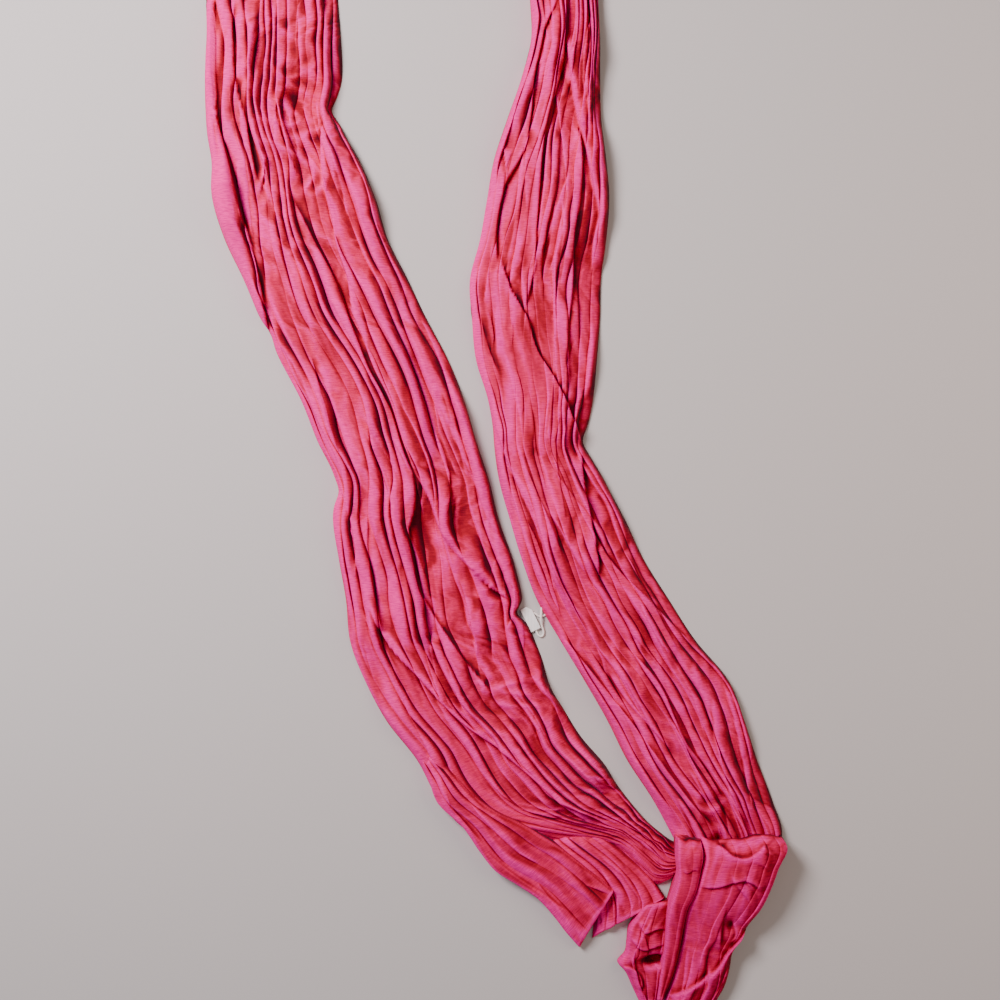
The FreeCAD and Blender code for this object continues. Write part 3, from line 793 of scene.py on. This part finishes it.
# The panel that wraps round both runs at the knot and hangs on as the tail.
knotTail = {
    "rows": [
        (0, 202, -417, 284, -412), (11, 205, -429, 289, -421), (33, 202, -449, 280, -443),
        (52, 197, -467, 274, -461), (74, 190, -485, 264, -485), (94, 187, -503, 252, -503),
        (106, 186, -515, 247, -515), (124, 183, -531, 237, -531), (139, 180, -547, 235, -545),
        (158, 175, -565, 230, -565), (178, 169, -583, 221, -583), (208, 166, -613, 217, -613),
        (237, 164, -642, 212, -642)],
    "stations": [0, 40, 80, 120, 160, 237],
    "places": [(.10, .09, .12, .12, .12, .12), (.30, .26, .30, .30, .30, .30), (.46, .48, .44, .46, .50, .50),
               (.60, .66, .62, .64, .70, .68), (.78, .82, .80, .82, .86, .86),
               (.93, .93, .93, .93, .95, .95)],
    "heights": [(1, 1, 1, 2, 3, 3), (1, 1, 1, 2, 3, 3), (1, 1.5, 1, 2, 3, 3), (2, 1.5, 1.5, 2, 3, 3),
                (2, 2, 2, 3, 3, 3), (2, 2, 3, 3, 3, 3)],
    "lift": ([0, 12, 30, 60, 95, 130, 165, 237], [22, 27, 29, 26, 16, 9, 5, 1]),
    "laps": [
        {"line": [(3, .16), (7, .25), (13, .31), (17, .43), (17, .53), (13, .63), (6, .74)], "over": -1,
         "rise": 5, "back": 12, "fade": 5, "lip": 1.0},
        {"line": [(46, .02), (47, .22), (44, .36), (41, .56), (46, .70), (56, .84)], "over": 1, "rise": 2.6,
         "back": 14, "fade": 10},
        {"line": [(64, .46), (84, .52), (104, .60), (126, .74)], "over": -1, "rise": 2.6, "back": 14},
        {"line": [(94, .99), (110, .94), (126, .87), (137, .78), (148, .56), (158, .34), (170, .05)],
         "over": 1, "rise": 6, "back": 26, "fade": 6, "lip": 1.0},
        {"line": [(82, .62), (92, .74), (104, .84), (112, .80)], "over": 1, "rise": 3, "back": 8, "fade": 10},
        {"line": [(20, .50), (26, .70), (38, .93)], "over": 1, "rise": 1.6, "back": 9},
        {"line": [(24, .42), (48, .66), (64, .90)], "over": 1, "rise": 1.4, "back": 8},
        {"line": [(22, .30), (38, .40), (56, .62), (74, .88)], "over": 1, "rise": 1.5, "back": 9}],
    "dents": [(4, .30, 8, 5, 5), (92, .72, 6, 6, 4)],
    "crown": 4.0, "bed": 4.0, "pleat": 0.35, "wrinkle": 0.6, "wobble": 2.0, "creases": 7, "step": 1.0,
    "columns": 30, "round": 9.0, "closed": True, "ends": (8, 2), "seed": 81, "shingle": 0.1, "hem": 3.2,
}

# The doubled edge of the same panel, folded back along the knot's left side.
edgeFold = {
    "rows": [
        (0, 180, -415, 204, -418), (16, 179, -433, 205, -431), (33, 180, -449, 202, -450),
        (50, 177, -465, 198, -467), (67, 172.5, -481, 191, -483), (84, 170, -498, 188, -499),
        (100, 169, -515, 186, -515), (122, 167, -536, 182, -538), (144, 164, -558, 177, -558),
        (167, 161, -581, 169, -581)],
    "stations": [0, 60, 110, 167],
    "places": [(.28, .26, .28, .30), (.70, .72, .70, .68)],
    "heights": [(.6, .6, .6, .5), (.9, .8, .8, .6)],
    "lift": ([0, 8, 30, 60, 95, 130, 167], [24, 30, 31, 28, 18, 11, 5]),
    "laps": [{"line": [(27, .10), (30, .40), (27, .68), (30, .92)], "over": 1, "rise": 1.2, "back": 10,
              "fade": 6}],
    "crown": 1.5, "bed": 4.0, "pleat": 0.12, "wrinkle": 0.4, "wobble": 0.6, "creases": 0, "step": 0.9,
    "columns": 40, "round": 4.0, "closed": True, "capped": True, "ends": (5, 3), "seed": 91, "lean": 0.3,
    "hem": 1.5,
}

sideFold = {
    "rows": [
        (0, 149, -484, 176, -480), (14, 141, -496, 175, -495), (27, 134, -508, 174, -508),
        (42, 132, -523, 172, -523), (54, 130, -534, 171, -534), (63, 123, -543, 170, -543),
        (73, 130, -552, 168, -553), (91, 138, -569, 165, -571), (105, 145, -584, 162, -584)],
    "stations": [0, 50, 105],
    "places": [(.14, .14, .16), (.38, .36, .40), (.64, .62, .62), (.88, .88, .86)],
    "heights": [(1.2, 1.2, 1.5), (1.2, 1.2, 1.5), (1, 1, 2), (1, 1, 2)],
    "lift": ([0, 25, 60, 105], [9, 9, 6, 3]),
    "laps": [
        {"line": [(18, .10), (30, .40), (26, .70), (27, .95)], "over": 1, "rise": 2.4, "back": 8, "fade": 6},
        {"line": [(36, .06), (48, .40), (44, .75), (42, .95)], "over": 1, "rise": 2.4, "back": 8, "fade": 6},
        {"line": [(66, .06), (68, .30), (80, .40), (92, .30)], "over": -1, "rise": 3, "back": 8, "fade": 6}],
    "dents": [(60, .80, 9, 4.6, 20), (61, .66, 5, 3.5, 9)],
    "crown": 2.5, "bed": 3.0, "pleat": 0.5, "wrinkle": 0.7, "wobble": 1.2, "creases": 4, "step": 0.9,
    "columns": 30, "round": 5.0, "closed": True, "capped": True, "ends": (3, 3), "seed": 101,
}


# Eases the turn's first and last rows onto the rows of the runs that they meet.
def easeTurn(grid, start, end, reach):
    down, left, right, points, relief = grid
    for distance, (goal, tone) in ((down - down[0], start), (down[-1] - down, end)):
        row = np.argmin(distance)
        near = 1 - smoothStep(distance / reach)
        points = points + near[:, None, None] * (goal - points[row])
        relief = relief + near[:, None] * (tone - relief[row])
    points[..., 2] = np.maximum(points[..., 2], 0.7)
    return down, left, right, points, relief


leftGrid = clothGrid(leftRun)
rightGrid = clothGrid(rightRun)
turnGrid = easeTurn(clothGrid(topTurn), (leftGrid[3][0], leftGrid[4][0]),
                    (rightGrid[3][0, ::-1], rightGrid[4][0, ::-1]), 90)
knotGrid = clothGrid(knotTail)
print("cloth laid out")

# Each piece: its settings and grid, the rows it takes, its material, its flat size in metres and the nodes
# that it stands for.
stretches = {
    "left_run_upper_cloth": (leftRun, leftGrid, 0, 360, jersey, (0.36, 0.36), ["left_run_upper"]),
    "left_run_lower_cloth": (leftRun, leftGrid, 360, 828, jersey, (0.36, 0.48), ["left_run_lower"]),
    "left_run_neck_cloth": (leftRun, leftGrid, 828, 1064, jersey, (0.16, 0.20), ["left_run_neck"]),
    "right_run_upper_cloth": (rightRun, rightGrid, 0, 360, jersey, (0.24, 0.36), ["right_run_upper"]),
    "right_run_lower_cloth": (rightRun, rightGrid, 360, 852, jersey, (0.28, 0.5), ["right_run_lower"]),
    "top_turn_cloth": (topTurn, turnGrid, 0, 660, jersey, (0.24, 0.66), ["top_turn"]),
    "end_flap_cloth": (endFlap, clothGrid(endFlap), 0, 239, jersey, (0.075, 0.24), ["end_flap"]),
    "flap_underlayer_cloth": (flapUnderlayer, clothGrid(flapUnderlayer), 0, 98, jersey, (0.075, 0.098),
                              ["flap_underlayer"]),
    "knot_band_cloth": (knotTail, knotGrid, 0, 80, jerseyKnot, (0.20, 0.085), ["knot_band"]),
    "tail_cloth": (knotTail, knotGrid, 80, 237, jerseyKnot, (0.14, 0.16),
                   ["tail_upper_layer", "tail_lower_layer"]),
    "edge_fold_cloth": (edgeFold, clothGrid(edgeFold), 0, 167, jerseyKnot, (0.05, 0.165), ["band_edge_fold"]),
    "side_fold_cloth": (sideFold, clothGrid(sideFold), 0, 105, jerseyKnot, (0.06, 0.105), ["tail_side_fold"]),
}
# The flap's root and the tail's root, each from the fixed body's side to the lifted side, for the pieces that
# lie across them; these pieces only have their transforms baked and are not attached to the wrap.
bends = {
    "end_flap_cloth": ("flap", (-0.0252, -0.3991, 0.006), (-0.0018, -0.4179, 0.006)),
    "tail_cloth": ("tail", (0.2, -0.489, 0.009), (0.2, -0.509, 0.009)),
    "edge_fold_cloth": ("tail", (0.18, -0.489, 0.009), (0.18, -0.509, 0.009)),
    "side_fold_cloth": ("tail", (0.15, -0.486, 0.009), (0.15, -0.504, 0.009)),
}


def makeStretches():
    for name, (spec, grid, first, last, material, flat, nodes) in stretches.items():
        piece = makeCloth(name, spec, grid, material, first, last)
        if name in bends:
            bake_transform(piece)
        else:
            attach(piece, "wrap")
        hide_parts(*nodes)


makeStretches()
print("cloth made")


# The care label: blank woven tape whose free edge curls up a little. It turns on the line where it's sewn.
labelSettings = {
    "hinge": (34.0, -202.9), "heading": 26.0, "level": 2.6, "curl": 1.6,
    "wide": 25.0, "out": 8.0, "sewn": 2.5, "thick": 0.4,
}


def makeLabel():
    settings = labelSettings
    turn = math.radians(settings["heading"])
    along = (math.sin(turn), -math.cos(turn))
    out = (math.cos(turn), math.sin(turn))
    half = settings["wide"] / 2
    reach = settings["out"] + settings["sewn"]
    bm = bmesh.new()
    bmesh.ops.create_grid(bm, x_segments=40, y_segments=16, size=1.0)
    for vert in bm.verts:
        a = vert.co.x * half
        o = (vert.co.y + 1) / 2 * reach - settings["sewn"]
        # One corner is folded under, so the lower edge runs in on a slant.
        o = min(o, settings["out"] * (0.5 + 0.1 * (a + half)))
        curl = settings["curl"] * (o / settings["out"]) ** 2 * (0.6 + 0.4 * math.sin(a / 4.2))
        x = settings["hinge"][0] + along[0] * a + out[0] * o
        y = settings["hinge"][1] + along[1] * a + out[1] * o
        vert.co = (x * mm, y * mm, (settings["level"] + curl) * mm)
    bmesh.ops.recalc_face_normals(bm, faces=bm.faces)
    mesh = bpy.data.meshes.new("care_label_tape")
    bm.to_mesh(mesh)
    bm.free()
    for polygon in mesh.polygons:
        polygon.use_smooth = True
    mesh.materials.append(tape)
    label = bpy.data.objects.new("care_label_tape", mesh)
    bpy.context.collection.objects.link(label)
    solid = label.modifiers.new("thickness", "SOLIDIFY")
    solid.thickness = settings["thick"] * mm
    solid.offset = 0.0
    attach(label, "label")
    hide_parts("care_label")


# The string and the stitches keep their shapes and take their materials.
def dressStringAndStitches():
    labelString.data.materials.append(cotton)
    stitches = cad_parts["label_stitches"]
    stitches.data.materials.clear()
    stitches.data.materials.append(thread)


makeLabel()
dressStringAndStitches()
print("label made")


# Studio: a pale floor, a broad soft light from the upper left and a weaker, warmer one from the right.
studio = {
    "floor": "#C6C3BF", "sky": "#F3F1F4", "skyStrength": 0.24,
    "lights": [  # name, place, watts, size, colour
        ("keyLight", (-0.9, 0.7, 1.25), 48.0, 0.6, "#FFF4FA"),
        ("fillLight", (1.2, 0.1, 0.9), 8.0, 0.8, "#FFD9C4")],
}


def makeStudio():
    bm = bmesh.new()
    bmesh.ops.create_grid(bm, x_segments=1, y_segments=1, size=12.0)
    mesh = bpy.data.meshes.new("floor")
    bm.to_mesh(mesh)
    bm.free()
    floor = bpy.data.objects.new("floor", mesh)
    bpy.context.collection.objects.link(floor)
    material = bpy.data.materials.new("painted board, matt")
    material.use_nodes = True
    shader = material.node_tree.nodes["Principled BSDF"]
    shader.inputs["Base Color"].default_value = toLinear(studio["floor"])
    shader.inputs["Roughness"].default_value = 0.9
    mesh.materials.append(material)
    for name, place, power, wide, colour in studio["lights"]:
        data = bpy.data.lights.new(name, "AREA")
        data.energy = power
        data.size = wide
        data.color = toLinear(colour)[:3]
        light = bpy.data.objects.new(name, data)
        light.location = place
        light.rotation_euler = (-light.location).to_track_quat("-Z", "Y").to_euler()
        bpy.context.collection.objects.link(light)
    world = bpy.data.worlds.new("softRoom")
    world.use_nodes = True
    background = world.node_tree.nodes["Background"]
    background.inputs["Color"].default_value = toLinear(studio["sky"])
    background.inputs["Strength"].default_value = studio["skyStrength"]
    bpy.context.scene.world = world


makeStudio()
print("studio made")
